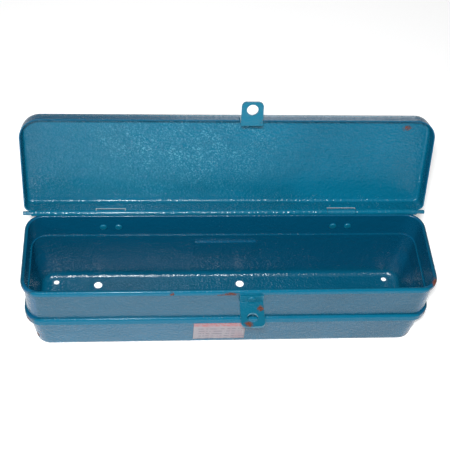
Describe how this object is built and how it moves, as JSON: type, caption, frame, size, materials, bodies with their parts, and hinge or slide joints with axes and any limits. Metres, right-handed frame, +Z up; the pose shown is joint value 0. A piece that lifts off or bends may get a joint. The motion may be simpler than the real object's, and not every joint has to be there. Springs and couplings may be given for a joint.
{
  "type": "tool box",
  "caption": "Long pressed-steel tool box with a deep hinged lid standing open, a hasp and staple for a padlock, and bolt holes in its floor.",
  "frame": {"origin": "centre of the flat underside of the box", "axes": "+X to the right along the length, +Y to the hinge at the rear, +Z up"},
  "size_m": [0.4, 0.1757, 0.2129],
  "materials": {
    "band_paint": "glossy",
    "pan_paint": "glossy",
    "lid_paint": "satin",
    "hinge_paint": "satin",
    "latch_paint": "satin",
    "label_paper": "matte"
  },
  "bodies": {
    "box": {"body_band": "band_paint", "body_pan": "pan_paint", "hinge_rod": "hinge_paint", "hinge_strap_left": "hinge_paint", "hinge_strap_right": "hinge_paint", "hinge_rivet_left_outer": "hinge_paint", "hinge_rivet_left_inner": "hinge_paint", "hinge_rivet_right_outer": "hinge_paint", "hinge_rivet_right_inner": "hinge_paint", "staple_bracket": "latch_paint", "staple_rivet": "latch_paint", "paper_label": "label_paper"},
    "lid": {"lid_shell": "lid_paint", "hasp_tab": "latch_paint"}
  },
  "joints": [
    {"name": "lid_hinge", "type": "hinge", "parent": "box", "child": "lid", "pos_m": [0, 0.05135, 0.0915], "axis": [1, 0, 0], "range_deg": [0, 110]}
  ]
}
